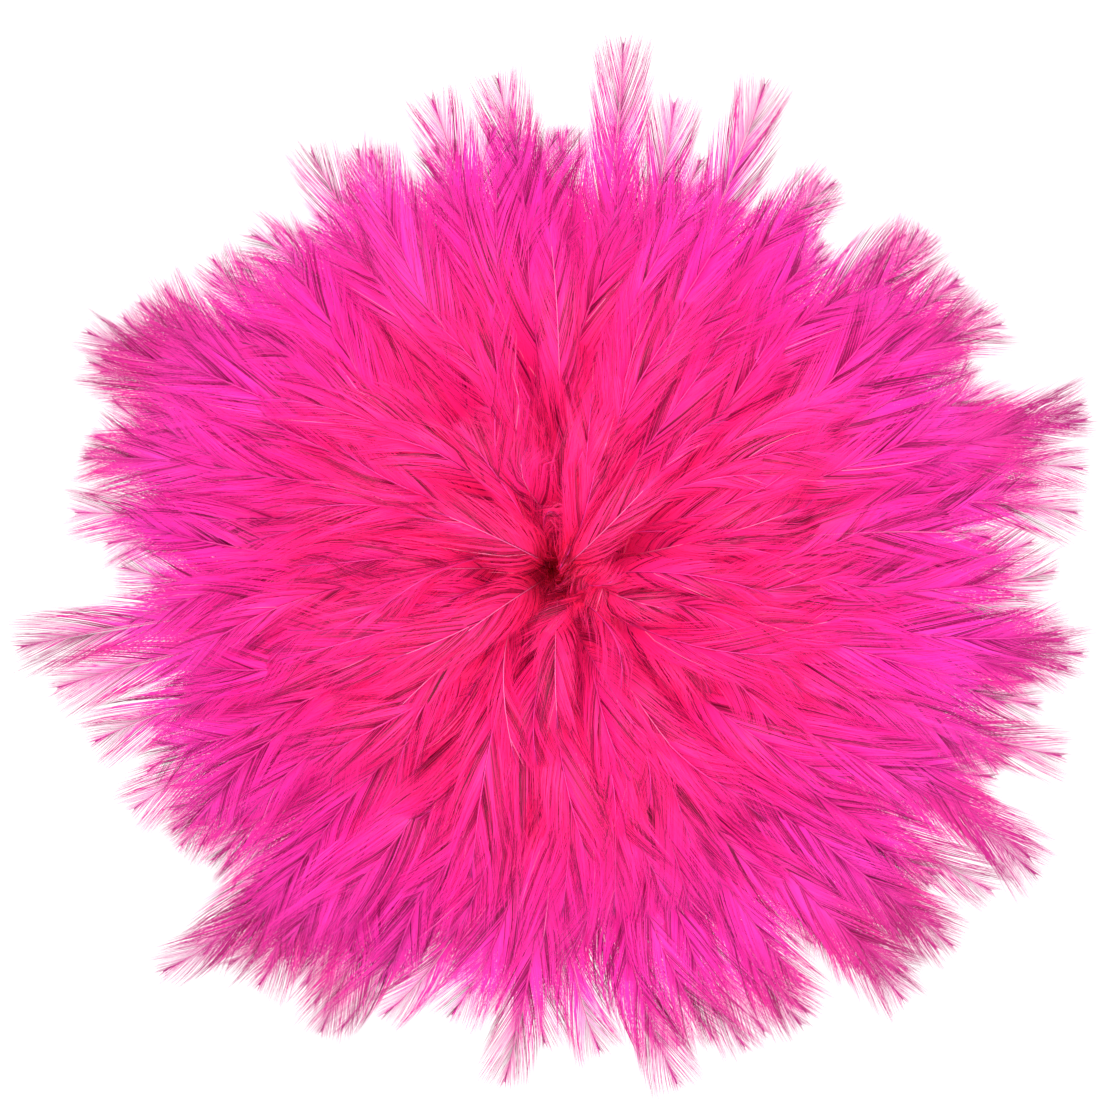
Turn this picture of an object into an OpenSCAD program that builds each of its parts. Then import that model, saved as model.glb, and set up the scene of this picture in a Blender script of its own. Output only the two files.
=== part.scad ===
// Feather boa: one strip of dyed hackle feathers, sewn between two tapes and
// wound edge-on into a round rosette on a felt disc.
// Millimetres. z = 0 is the underside of the disc, and +Z runs up through the eye.
// Each tuft is a group of neighbouring feathers that bend together at the tape.

/* [Rosette] */
// Distance across the tips of the outer feathers
rosette_d = 300; // [280:5:320]
// Distance across the tips of the feathers round the eye
eye_tips_d = 92; // [88:1:96]

/* [Strip] */
// Length of the feather strip before it is wound
strip_length = 914; // [900:2:930]
// Height of the two header tapes
tape_h = 11; // [9:0.5:11]
// Thickness of each header tape
tape_t = 0.4; // [0.3:0.05:0.4]
// Distance between neighbouring quills along the strip
quill_spacing = 1.6; // [1.6:0.2:4.8]
// Thickness of a quill
quill_d = 1.2; // [0.8:0.1:1.2]

/* [Base] */
// Thickness of the felt disc
disc_t = 1.5; // [1:0.25:1.5]
// Thickness of the ribbon round the roll
ribbon_t = 0.6; // [0.4:0.1:0.8]

/* [Hidden] */
$fn = 96;
small_sides = 16;
cut_margin = 1;

// The spiral that the quills stand on
eye_r = 4;
turn_pitch = 3;
segment_deg = 9;
quill_play = 0.1;
half_quill_gap = quill_d / 2 + quill_play;
turns = (sqrt(eye_r * eye_r + turn_pitch * strip_length / PI) - eye_r) / turn_pitch;
spiral_r = eye_r + turn_pitch * turns;
tape_out = half_quill_gap + tape_t;
quill_below_tape_top = 9;
quill_above_tape_top = 1;

// The sewing threads, two rows round the outer tape
thread_t = 0.5;
thread_h = 0.6;
thread_rows = [0.3 * tape_h, 0.7 * tape_h];

// The ribbon and the felt disc
ribbon_play = 0.3;
ribbon_r = spiral_r + tape_out + thread_t + ribbon_play;
ribbon_h = 0.8 * tape_h;
ribbon_join_deg = 7.5;
ribbon_join_gap = 1.2;
ribbon_stitch_d = 0.3;
ribbon_stitches_up = 4;
disc_r = ribbon_r;

// The tufts: where they start, and how far they stay inside their own sector
tape_top = disc_t + tape_h;
tuft_above_tape = 2.5;
tuft_base_z = tape_top + tuft_above_tape;
tuft_gap = 0.5;
layers = 4;
layer_depth = turns * turn_pitch / layers;
blade_steps = 20;
side_steps = 8;

// The line of feather tips: dip between lobes, squareness of a lobe, and fall at the sides
lobe_steps = 6;
lobe_dip = 14;
lobe_squareness = 1.8;
side_fall = 4;

// One entry a layer, from the eye outwards: eye, crown, middle and skirt
sectors = [6, 12, 12, 12];
lobes = [3, 3, 3, 3];
first_sector_deg = [0, 0, 15, 0];
tip_r = [eye_tips_d / 2, 0.587 * rosette_d / 2, 0.813 * rosette_d / 2, rosette_d / 2];
tip_z = [98, 80, 54, 19];
bend_low = [[3.8, 33], [7.3, 35], [7.9, 29], [7.4, 15]];
bend_high = [[20, 103], [48, 106], [76, 92], [92, 58]];
root_half_deg = [17, 8.6, 9.2, 10];
tip_half_deg = [22.5, 11.5, 11.5, 12.6];
root_t = [4.6, 5.2, 5.2, 5.2];
middle_t = [6, 7, 8, 8];
tip_t = [4, 4, 4, 4];

felt = [0.45, 0.02, 0.14];
tape = [0.85, 0.05, 0.35];
thread = [0.95, 0.25, 0.5];
quill = [0.8, 0.1, 0.35];
satin = [0.9, 0.1, 0.45];
layer_colours = [[0.9, 0.06, 0.36], [0.95, 0.08, 0.42], [1, 0.15, 0.55], [0.95, 0.3, 0.68]];

// The node to draw, or all of them

// Radius of the strip's centre line after turning through an angle
function strip_r(deg) = eye_r + turn_pitch * deg / 360;

// Angle that a length of the strip has turned through
function strip_deg(length) =
    360 / turn_pitch * (sqrt(eye_r * eye_r + turn_pitch * length / PI) - eye_r);

function on_circle(r, deg) = [r * cos(deg), r * sin(deg)];

// Point on a cubic curve from its four control points
function curve_point(p, t) =
    pow(1 - t, 3) * p[0] + 3 * pow(1 - t, 2) * t * p[1] + 3 * (1 - t) * t * t * p[2] + pow(t, 3) * p[3];

function curve_direction(p, t) =
    let (d = pow(1 - t, 2) * (p[1] - p[0]) + 2 * (1 - t) * t * (p[2] - p[1]) + t * t * (p[3] - p[2]))
    d / norm(d);

// Radius and height control points of a layer's middle line
function layer_root(k) = [eye_r + (k + 0.5) * layer_depth, tuft_base_z];
function layer_curve(k) = [layer_root(k), layer_root(k) + bend_low[k], bend_high[k], [tip_r[k], tip_z[k]]];

function blade_half_t(k, t) =
    0.5 * (root_t[k] * pow(1 - t, 2) + (4 * middle_t[k] - root_t[k] - tip_t[k]) * t * (1 - t) + tip_t[k] * t * t);

// Point on the upper (side 1) or lower (side -1) face of a layer's blade
function blade_edge(k, t, side) =
    let (d = curve_direction(layer_curve(k), t))
    curve_point(layer_curve(k), t) + side * blade_half_t(k, t) * [-d[1], d[0]];

// How far from the middle of its sector a tuft reaches at a distance from the eye
function half_deg(k, r) =
    root_half_deg[k] + (tip_half_deg[k] - root_half_deg[k]) * pow(r / tip_r[k], 2);

// Tip line of a tuft: one rounded point for each lobe, where across runs from -1 to 1
function lobe_r(k, across) =
    let (place = (across + 1) / 2 * lobes[k], in_lobe = 2 * (place - floor(place)) - 1)
    tip_r[k] - lobe_dip * pow(abs(in_lobe), lobe_squareness) * tip_r[k] / tip_r[layers - 1]
        - side_fall * across * across;

// A wall that follows the wound strip between two offsets from its centre line
module wound_wall(inner, outer, height) {
    steps = floor(turns * 360 / segment_deg);
    linear_extrude(height)
        polygon(concat(
            [for (i = [0:steps]) on_circle(strip_r(i * segment_deg) + outer, i * segment_deg)],
            [for (i = [steps:-1:0]) on_circle(strip_r(i * segment_deg) + inner, i * segment_deg)]));
}

module stitch_thread(z) {
    color(thread)
        translate([0, 0, disc_t + z - thread_h / 2])
            wound_wall(tape_out, tape_out + thread_t, thread_h);
}

// Side view of a tuft's blade, drawn as radius and height
module blade_side(k) {
    polygon(concat(
        [for (i = [0:blade_steps]) blade_edge(k, i / blade_steps, 1)],
        [for (i = [blade_steps:-1:0]) blade_edge(k, i / blade_steps, -1)]));
}

// View of a tuft from above: two spreading sides and a line of feather tips
module tuft_outline(k) {
    root_r = layer_root(k)[0] - layer_depth / 2 + tuft_gap;
    side_r = lobe_r(k, 1);
    tip_points = 2 * lobe_steps * lobes[k];
    polygon(concat(
        [for (i = [0:side_steps - 1])
            let (r = root_r + (side_r - root_r) * i / side_steps) on_circle(r, -half_deg(k, r))],
        [for (i = [0:tip_points])
            let (across = 2 * i / tip_points - 1) on_circle(lobe_r(k, across), across * tip_half_deg[k])],
        [for (i = [side_steps - 1:-1:0])
            let (r = root_r + (side_r - root_r) * i / side_steps) on_circle(r, half_deg(k, r))]));
}

// A group of neighbouring feathers as one curved blade
module tuft(k, sector) {
    blade_w = 2 * (tip_r[k] * sin(tip_half_deg[k]) + cut_margin);
    outline_h = bend_high[k][1] - tuft_base_z + cut_margin;
    color(layer_colours[k])
        rotate([0, 0, first_sector_deg[k] + (sector - 1) * 360 / sectors[k]])
            intersection() {
                rotate([90, 0, 0])
                    translate([0, 0, -blade_w / 2])
                        linear_extrude(blade_w) blade_side(k);
                translate([0, 0, tuft_base_z])
                    linear_extrude(outline_h) tuft_outline(k);
            }
}

module backing_disc() {
    color(felt) cylinder(r = disc_r, h = disc_t);
}

module header_tape_inner() {
    color(tape) translate([0, 0, disc_t]) wound_wall(-tape_out, -half_quill_gap, tape_h);
}

module header_tape_outer() {
    color(tape) translate([0, 0, disc_t]) wound_wall(half_quill_gap, tape_out, tape_h);
}

module quills() {
    quill_count = floor(strip_length / quill_spacing);
    color(quill)
        for (i = [0:quill_count - 1]) {
            deg = strip_deg((i + 0.5) * quill_spacing);
            translate([0, 0, tape_top - quill_below_tape_top])
                translate(on_circle(strip_r(deg), deg))
                    cylinder(d = quill_d, h = quill_below_tape_top + quill_above_tape_top, $fn = small_sides);
        }
}

// The ribbon's two ends stop just short of each other
module neck_ribbon() {
    color(satin)
        translate([0, 0, disc_t])
            difference() {
                cylinder(r = ribbon_r + ribbon_t, h = ribbon_h);
                translate([0, 0, -cut_margin]) cylinder(r = ribbon_r, h = ribbon_h + 2 * cut_margin);
                rotate([0, 0, ribbon_join_deg])
                    translate([ribbon_r - cut_margin, -ribbon_join_gap / 2, -cut_margin])
                        cube([ribbon_t + 2 * cut_margin, ribbon_join_gap, ribbon_h + 2 * cut_margin]);
            }
}

// Stitches that draw the ribbon's two ends together
module ribbon_stitches() {
    color(thread)
        for (i = [0:ribbon_stitches_up - 1])
            rotate([0, 0, ribbon_join_deg])
                translate([ribbon_r + ribbon_t / 2, ribbon_join_gap / 2,
                    disc_t + (i + 0.5) * ribbon_h / ribbon_stitches_up])
                    rotate([90, 0, 0])
                        cylinder(d = ribbon_stitch_d, h = ribbon_join_gap, $fn = small_sides);
}

backing_disc();
header_tape_inner();
header_tape_outer();
stitch_thread(thread_rows[0]);  // stitch_thread_lower
stitch_thread(thread_rows[1]);  // stitch_thread_upper
quills();
neck_ribbon();
ribbon_stitches();
tuft(0, 1);  // tuft_eye_1
tuft(0, 2);  // tuft_eye_2
tuft(0, 3);  // tuft_eye_3
tuft(0, 4);  // tuft_eye_4
tuft(0, 5);  // tuft_eye_5
tuft(0, 6);  // tuft_eye_6
tuft(1, 1);  // tuft_crown_1
tuft(1, 2);  // tuft_crown_2
tuft(1, 3);  // tuft_crown_3
tuft(1, 4);  // tuft_crown_4
tuft(1, 5);  // tuft_crown_5
tuft(1, 6);  // tuft_crown_6
tuft(1, 7);  // tuft_crown_7
tuft(1, 8);  // tuft_crown_8
tuft(1, 9);  // tuft_crown_9
tuft(1, 10);  // tuft_crown_10
tuft(1, 11);  // tuft_crown_11
tuft(1, 12);  // tuft_crown_12
tuft(2, 1);  // tuft_middle_1
tuft(2, 2);  // tuft_middle_2
tuft(2, 3);  // tuft_middle_3
tuft(2, 4);  // tuft_middle_4
tuft(2, 5);  // tuft_middle_5
tuft(2, 6);  // tuft_middle_6
tuft(2, 7);  // tuft_middle_7
tuft(2, 8);  // tuft_middle_8
tuft(2, 9);  // tuft_middle_9
tuft(2, 10);  // tuft_middle_10
tuft(2, 11);  // tuft_middle_11
tuft(2, 12);  // tuft_middle_12
tuft(3, 1);  // tuft_skirt_1
tuft(3, 2);  // tuft_skirt_2
tuft(3, 3);  // tuft_skirt_3
tuft(3, 4);  // tuft_skirt_4
tuft(3, 5);  // tuft_skirt_5
tuft(3, 6);  // tuft_skirt_6
tuft(3, 7);  // tuft_skirt_7
tuft(3, 8);  // tuft_skirt_8
tuft(3, 9);  // tuft_skirt_9
tuft(3, 10);  // tuft_skirt_10
tuft(3, 11);  // tuft_skirt_11
tuft(3, 12);  // tuft_skirt_12
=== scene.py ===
"""Feather boa rosette.

A strip of dyed hackle feathers, sewn between two tapes, is wound edge-on into a roll on a felt disc.
Every feather is a shaft with two combs of barbs. Lengths are in metres unless a name says otherwise.
"""
import math

import bpy
import numpy as np
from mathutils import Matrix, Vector


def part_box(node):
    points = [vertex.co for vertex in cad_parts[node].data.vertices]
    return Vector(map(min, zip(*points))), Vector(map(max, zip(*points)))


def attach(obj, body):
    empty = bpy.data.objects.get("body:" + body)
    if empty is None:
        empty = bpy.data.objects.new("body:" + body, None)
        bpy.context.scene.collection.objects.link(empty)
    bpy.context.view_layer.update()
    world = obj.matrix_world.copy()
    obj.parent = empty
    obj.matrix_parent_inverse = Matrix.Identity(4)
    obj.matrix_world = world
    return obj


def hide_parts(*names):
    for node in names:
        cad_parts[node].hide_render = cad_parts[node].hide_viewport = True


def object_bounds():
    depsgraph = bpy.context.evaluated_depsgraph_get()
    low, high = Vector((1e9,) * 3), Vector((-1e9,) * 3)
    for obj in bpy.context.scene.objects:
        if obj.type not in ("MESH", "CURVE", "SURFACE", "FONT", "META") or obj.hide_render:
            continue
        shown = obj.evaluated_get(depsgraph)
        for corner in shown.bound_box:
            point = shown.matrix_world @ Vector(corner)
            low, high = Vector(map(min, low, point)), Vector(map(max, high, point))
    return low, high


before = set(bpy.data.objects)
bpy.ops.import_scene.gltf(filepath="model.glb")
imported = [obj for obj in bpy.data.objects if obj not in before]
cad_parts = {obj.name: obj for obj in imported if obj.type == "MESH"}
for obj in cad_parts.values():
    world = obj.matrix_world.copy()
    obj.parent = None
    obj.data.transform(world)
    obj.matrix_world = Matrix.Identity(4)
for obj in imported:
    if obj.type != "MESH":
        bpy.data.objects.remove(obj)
cad_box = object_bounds()

# ---------------------------------------------------------------- driving sizes
MM = 0.001
SEED = 7

# the wound strip, as in the frame
STRIP_LENGTH = 914 * MM
EYE_RADIUS = 4 * MM
TURN_PITCH = 3 * MM
QUILL_SPACING = 1.6 * MM
QUILL_RADIUS = 0.6 * MM
QUILL_PLAY = 0.1 * MM
QUILL_SIDES = 8
# a bare quill end from below: share of its height, share of its radius
QUILL_PROFILE = [(0, 0.3), (0.03, 0.8), (0.1, 1), (0.6, 0.95), (0.9, 0.75), (1, 0.5)]
TAPE_THICKNESS = 0.4 * MM
WEAVE_PITCH = 0.9 * MM
FEATHER_COUNT = int(STRIP_LENGTH / QUILL_SPACING)
ROLL_DEPTH = math.sqrt(EYE_RADIUS**2 + TURN_PITCH * STRIP_LENGTH / math.pi) - EYE_RADIUS
HALF_GAP = QUILL_RADIUS + QUILL_PLAY
TAPE_OUT = HALF_GAP + TAPE_THICKNESS

TAPE_LOW, TAPE_TOP = (float(corner[2]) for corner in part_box("header_tape_outer"))
QUILL_LOW, QUILL_TOP = (float(corner[2]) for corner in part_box("quills"))
SHAFT_START = QUILL_TOP - 3 * MM
ROSETTE_RADIUS = (cad_box[1][0] - cad_box[0][0]) / 2

# stitching through the tapes
STITCH_PITCH = 2.6 * MM
STITCH_RADIUS = 0.26 * MM
STITCH_BULGE = 0.2 * MM
STITCH_LEAN = 0.1 * MM
STITCH_SHARE = 0.88
STITCH_END_SHARE = 0.6
STITCH_POINTS = 7
THREAD_TURNS_ROUND = 800
THREAD_TWIST_PITCH = 0.24166 * MM

# the satin ribbon and the felt disc
RIBBON_LOW, RIBBON_TOP = (float(corner[2]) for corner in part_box("neck_ribbon"))
RIBBON_OUTER = float(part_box("neck_ribbon")[1][1])
RIBBON_THICKNESS = 0.6 * MM
RIBBON_JOIN_DEG = 7.5
RIBBON_JOIN_GAP = 1.2 * MM
RIBBON_PUCKER = 0.12 * MM
PUCKER_WAVES = 60
PUCKER_FADES_OVER = 0.25
RIBBON_STITCHES = 4
RIBBON_STITCH_RADIUS = 0.16 * MM
RIBBON_STITCH_SINK = 0.35 * MM
RIBBON_STITCH_BULGE = 0.4 * MM
RIBBON_STITCH_LEAN = 0.35 * MM
RIBBON_STITCH_REACH = 1.7
RIBBON_EDGE = 0.7 * MM
RIBS_ROUND_EDGE = 330
SATIN_PITCH = 0.3 * MM
FELT_RADIUS = float(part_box("backing_disc")[1][1])
FELT_THICKNESS = float(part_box("backing_disc")[1][2])
FELT_UNEVEN = 0.12 * MM

# layers of tufts: name, tufts round the layer, azimuth of the first in degrees
LAYERS = [("eye", 6, 0), ("crown", 12, 0), ("middle", 12, 15), ("skirt", 12, 0)]

# the shaft of a feather
SHAFT_RADIUS = 0.24 * MM
SHAFT_TIP_RADIUS = 0.1 * MM
SHAFT_PROUD = 0.15 * MM
SHAFT_TAPER_POWER = 0.7
SHAFT_STATIONS = 22
SHAFT_SIDES = 4
LINE_POINTS = 48

# the vanes: the shaft is bare for its first stretch, and a vane grows to its full width over a share of
# the feather's length
BARE_SHAFT = 6 * MM
MEAN_HALF_WIDTH = 10 * MM
VANE_GROWS_OVER = 0.16
VANE_GROWTH_POWER = 0.6
TIP_WIDTH_SHARE = 0.45
WIDTH_WAVE = 0.1
LEAVE_WAVE = 0.12
LEAVE_WAVE_RATE = 1.7

# the barbs: where a barb's cross sections stand along it (it is broad only where it joins the shaft), the
# longest barb, and how far barbs may reach past the end of the shaft
BARB_STATIONS = np.array([0, 0.05, 0.3, 0.65, 1])
BARB_LONGEST = 32 * MM
BARB_LENGTH_SPREAD = 0.08
BARB_PAST_TIP = 2.5 * MM
PAST_TIP_SHARE = 1.08
LEAST_SIDEWAYS = 0.12
BARB_TAPER = 0.5
BARB_TWIST_SPREAD = 0.5
BARB_BEND_SPREAD = 0.05
DOWN_BEND_SPREAD = 0.3
CLUMP_TONE_SHARE = 0.6
SHORT_BARB = 0.6
SHORT_BARB_CHANCE = 0.06
CLUMP_STAND = 0.22
BARB_STAND = 0.12
DOWN_SHARE = 0.34
DOWN_SHARE_SPREAD = 0.03
DOWN_FADES_OVER = 0.12
DOWN_LOFT = 4 * MM

# how the barbs change along the shaft: shares of its length from the quill (0) to the tip (1), then values
BARB_PITCH = ([0.25, 0.5], [0.9 * MM, 0.52 * MM])
BARB_WIDTH = ([0.55, 0.92], [0.3 * MM, 0.1 * MM])
LEAVE_DEG = ([0, 0.3, 0.7, 0.9, 1], [50, 28, 20, 19, 8])
STRAIGHTENING = ([0.3, 0.7, 1], [0.6, 0.45, 0.3])
PUFF = ([0, 0.5, 0.8, 1], [1.5, 1, 0.6, 0.25])
CLUMP_BREAK_CHANCE = ([0.3, 0.8], [0.42, 0.24])
CLING = ([0.4, 0.9], [0.4, 0.75])

# how feathers stand: swirls as (size, waves round the axis, turn from eye to rim, phase), how far a tip may
# curl aside, and the feathers that are shorter and lean in to fill the eye
SWIRLS = [(0.08, 2, 3, 0.7), (0.09, 5, 9, 0), (0.05, 11, -14, 0)]
DRIFT_LENGTH = 130 * MM
CURL_MOST = 12 * MM
FILLER_PLACE = 0.13
FILLER_CHANCE = 0.45
FILLER_TIP = (3 * MM, 4 * MM)
FILLER_LENGTH = (0.78, 0.9)
PALE_SHAFT_CHANCE = 0.03
PALE_SHAFT_PLACE = 0.6

# how much feathers differ: first at the rim, then what is added at the eye, where they stand looser
AZIMUTH_SPREAD = (0.05, 0.9)
DRIFT_SPREAD = (0.07, 0.1)
CURL_SPREAD = (6 * MM, 10 * MM)
ROLL_SPREAD = (0.22, 0.4)
# the flick of a tip, the width and the length: what is the same everywhere, and what changes at the eye
FLICK_SPREAD = 2 * MM
EYE_FLICK = 5 * MM
EYE_FLICK_CHANCE = 0.25
WIDTH_SPREAD = 1.3 * MM
EYE_NARROWING = 0.2
LENGTH_SPREAD = 0.035
SHORTER_BY = 0.12
SHORTER_CHANCE = 0.3
DIHEDRAL_SPREAD = 0.1
# narrow, full-length feathers among those at the eye
NARROW_CHANCE = 0.4
NARROW_WIDTH = 0.55
NARROW_CURL = 1.4
# what one feather draws from: puff, taper and point of its tip, waves along it, and camber across it
PUFF_RANGE = (0.2, 1)
TAPER_RANGE = (0.12, 0.26)
POINT_RANGE = (0.45, 0.7)
WAVE_RANGE = (8, 22)
PHASE_RANGE = (0, 6)
CAMBER_RANGE = (0.05, 0.3)
# where along a feather its sideways drift, its curl and its flick upwards take hold
DRIFT_POWER = 2
CURL_POWER = 6
FLICK_POWER = 8
# a single feather whose place is listed
LONE_STANCE = {"drift": 0, "curl": 3 * MM, "flick": 0, "roll": 0.1, "puff": 0.25, "dihedral": 0.1,
               "scale": 1}
LONE_TONE = 0.8

# middle line of a feather, at six places from the eye (0) to the rim (1) of the roll
PLACES = [0, 0.125, 0.375, 0.625, 0.875, 1]
RISE_OUT = np.array([-5, 3.8, 7.3, 7.9, 7.4, 7]) * MM
RISE_UP = np.array([44, 35, 35, 29, 15, 10]) * MM
BEND_RADIUS = np.array([-9, 16, 48, 76, 92, 96]) * MM
BEND_HEIGHT = np.array([106, 110, 108, 92, 58, 44]) * MM
TIP_RADIUS = np.array([16, 40, 80, 112, 137, 142]) * MM
TIP_HEIGHT = np.array([96, 92, 80, 54, 26.5, 23]) * MM

# where the rim stands out or falls back: azimuth and half width in degrees, change of reach in millimetres
RIM_SHAPE = [(-35, 36, 8), (-85, 7, 14), (-56, 8, 13), (-43, 5, -6), (-29, 9, 14), (-9, 11, -12),
             (14, 6, -6), (25, 10, 13), (56, 8, -19), (93, 26, -38), (115, 6, 12), (130, 10, -15),
             (148, 8, 12), (-170, 28, -30), (-152, 10, -10), (-132, 9, 18), (-99, 10, -13)]
# where the feather tips end unevenly: azimuth and half width in degrees
UNEVEN_RIM = [(82, 34), (-170, 28), (-4, 10)]
EVEN_SPREAD = 3.5 * MM
UNEVEN_SPREAD = 12.5 * MM
# single feathers that lie flat on top or stand out past the rim: place in the roll, azimuth of the tip in
# degrees, radius of the tip and half width in millimetres
LONE_FEATHERS = [(1, 82, 150, 10), (1, 96, 140, 9), (1, 104, 138, 9), (1, 66, 149, 10), (1, 41, 140, 9),
                 (1, 55, 132, 8), (1, 75, 136, 8), (1, 154, 142, 10), (1, 172, 138, 10), (1, -173, 154, 11),
                 (1, -168, 146, 11), (1, -161, 140, 10), (1, -152, 138, 10), (1, -134, 148, 10),
                 (1, -17, 140, 10), (0.42, 90, 93, 5.5), (0.4, 63, 80, 6), (0.35, 158, 70, 7),
                 (0.3, -142, 62, 6), (0.3, -60, 60, 6), (0.28, 12, 66, 6), (0.08, -24, 32, 6),
                 (0.14, -150, 40, 7), (0.12, 150, 38, 8), (0.1, 40, 36, 7), (0.2, 178, 48, 6),
                 (0.16, -95, 42, 6)]


# ---------------------------------------------------------------- the wound strip
def strip_angle(length):
    """Angle in radians that a length of the strip has turned through."""
    return 2 * math.pi / TURN_PITCH * (math.sqrt(EYE_RADIUS**2 + TURN_PITCH * length / math.pi) - EYE_RADIUS)


def strip_radius(angle):
    """Radius of the strip's centre line after turning through an angle in radians."""
    return EYE_RADIUS + TURN_PITCH * angle / (2 * math.pi)


def feather_angle(number):
    """Angle in radians at which a feather's quill stands on the strip."""
    return strip_angle((number + 0.5) * QUILL_SPACING)


def feather_place(number):
    """Where a feather stands in the roll, from the eye (0) to the rim (1)."""
    return (strip_radius(feather_angle(number)) - EYE_RADIUS) / ROLL_DEPTH


def wrapped(angle_deg):
    """An angle in degrees, brought to between -180 and 180."""
    return (angle_deg + 180) % 360 - 180


def rim_change(azimuth_deg):
    """How much further out than usual the rim stands at an azimuth."""
    return sum(change * MM * math.exp(-((wrapped(azimuth_deg - at) / width) ** 2))
               for at, width, change in RIM_SHAPE)


def rim_spread(azimuth_deg):
    """How much the reach of neighbouring feathers differs at an azimuth."""
    uneven = max(math.exp(-((wrapped(azimuth_deg - at) / width) ** 2)) for at, width in UNEVEN_RIM)
    return EVEN_SPREAD + uneven * (UNEVEN_SPREAD - EVEN_SPREAD)


def body_of(number):
    """Name of the tuft body that a feather belongs to."""
    name, count, first = LAYERS[min(int(feather_place(number) * len(LAYERS)), len(LAYERS) - 1)]
    sector = round((math.degrees(feather_angle(number)) - first) * count / 360) % count
    return f"{name}_{sector + 1}"


def nearest_feather(place, azimuth_deg):
    """Number of the feather at an azimuth in the turn of the strip that ends at a place in the roll."""
    last = max(2 * math.pi * place * ROLL_DEPTH / TURN_PITCH, 2 * math.pi)
    turn = [number for number in range(FEATHER_COUNT) if last - 2 * math.pi < feather_angle(number) <= last]
    return min(turn, key=lambda number: abs(wrapped(math.degrees(feather_angle(number)) - azimuth_deg)))


def find_lone_feathers():
    """How each single feather stands, by the feather's number."""
    return {nearest_feather(place, azimuth): {"azimuth": math.radians(azimuth), "tip_radius": reach * MM,
                                              "half_width": half_width * MM, **LONE_STANCE}
            for place, azimuth, reach, half_width in LONE_FEATHERS}


# ---------------------------------------------------------------- meshes
class Parts:
    """Gathers vertices, faces and per-vertex values for one mesh."""

    def __init__(self, value_names=()):
        self.value_names = value_names
        self.points, self.faces, self.values, self.slots = [], [], [], []
        self.count = 0

    def add(self, points, faces, values=None, slot=0):
        """points (n, 3); faces, a list of index arrays, a row for each face; values (n, value names)."""
        self.points.append(points)
        self.values.append(np.zeros((len(points), 0)) if values is None else values)
        for group in faces:
            self.faces.append(group + self.count)
            self.slots.append(np.full(len(group), slot))
        self.count += len(points)

    def piece(self, name, materials):
        """Makes the object, links it into the scene and returns it."""
        corners = [len(group[0]) for group in self.faces for _ in range(len(group))]
        loops = np.concatenate([group.ravel() for group in self.faces])
        values = np.concatenate(self.values)
        mesh = bpy.data.meshes.new(name)
        mesh.vertices.add(self.count)
        mesh.vertices.foreach_set("co", np.concatenate(self.points).ravel())
        mesh.loops.add(len(loops))
        mesh.loops.foreach_set("vertex_index", loops)
        mesh.polygons.add(len(corners))
        mesh.polygons.foreach_set("loop_start", np.concatenate([[0], np.cumsum(corners)[:-1]]))
        mesh.polygons.foreach_set("material_index", np.concatenate(self.slots))
        mesh.polygons.foreach_set("use_smooth", np.ones(len(corners), bool))
        for column, value_name in enumerate(self.value_names):
            layer = mesh.attributes.new(value_name, "FLOAT", "POINT")
            layer.data.foreach_set("value", np.ascontiguousarray(values[:, column]))
        for material in materials:
            mesh.materials.append(material)
        mesh.update(calc_edges=True)
        mesh.validate()
        piece = bpy.data.objects.new(name, mesh)
        bpy.context.collection.objects.link(piece)
        return piece


def rings_to_faces(ring_count, ring_size, closed):
    """Quads between neighbouring rings of points, and a cap on each end of an open run of rings."""
    ring = np.arange(ring_size)
    following = (ring + 1) % ring_size
    last = ring_count if closed else ring_count - 1
    quads = [np.column_stack([k * ring_size + ring, k * ring_size + following,
                              (k + 1) % ring_count * ring_size + following,
                              (k + 1) % ring_count * ring_size + ring]) for k in range(last)]
    caps = [] if closed else [ring[::-1][None, :], (ring_count - 1) * ring_size + ring[None, :]]
    return [np.concatenate(quads)] + caps


def tube(path, radius, sides=6):
    """A round tube along a path, given as points (n, 3); radius is one number or one for each point."""
    run = np.gradient(path, axis=0)
    run /= np.linalg.norm(run, axis=1)[:, None]
    aside = np.cross(run, [0, 0, 1])
    aside /= np.linalg.norm(aside, axis=1)[:, None]
    up = np.cross(aside, run)
    turn = np.arange(sides) * 2 * math.pi / sides
    radius = np.broadcast_to(radius, len(path))[:, None, None]
    rings = path[:, None] + radius * (np.cos(turn)[None, :, None] * aside[:, None]
                                      + np.sin(turn)[None, :, None] * up[:, None])
    return rings.reshape(-1, 3), rings_to_faces(len(path), sides, False)


def band_section(inner, outer, low, high, rounding):
    """Closed outline of a band with rounded edges: (outward, up) points."""
    corners = [(outer - rounding, high - rounding, 0), (inner + rounding, high - rounding, 90),
               (inner + rounding, low + rounding, 180), (outer - rounding, low + rounding, 270)]
    return np.array([(x + rounding * math.cos(math.radians(first + step)),
                      y + rounding * math.sin(math.radians(first + step)))
                     for x, y, first in corners for step in (0, 45, 90)])


def swept(section, angles, radii, closed=False):
    """A section carried round the axis. Its outward offsets are added to the radius at each angle."""
    reach = radii[:, None] + section[None, :, 0]
    points = np.stack([reach * np.cos(angles)[:, None], reach * np.sin(angles)[:, None],
                       np.broadcast_to(section[:, 1], reach.shape)], axis=2)
    return points.reshape(-1, 3), rings_to_faces(len(angles), len(section), closed)


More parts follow.
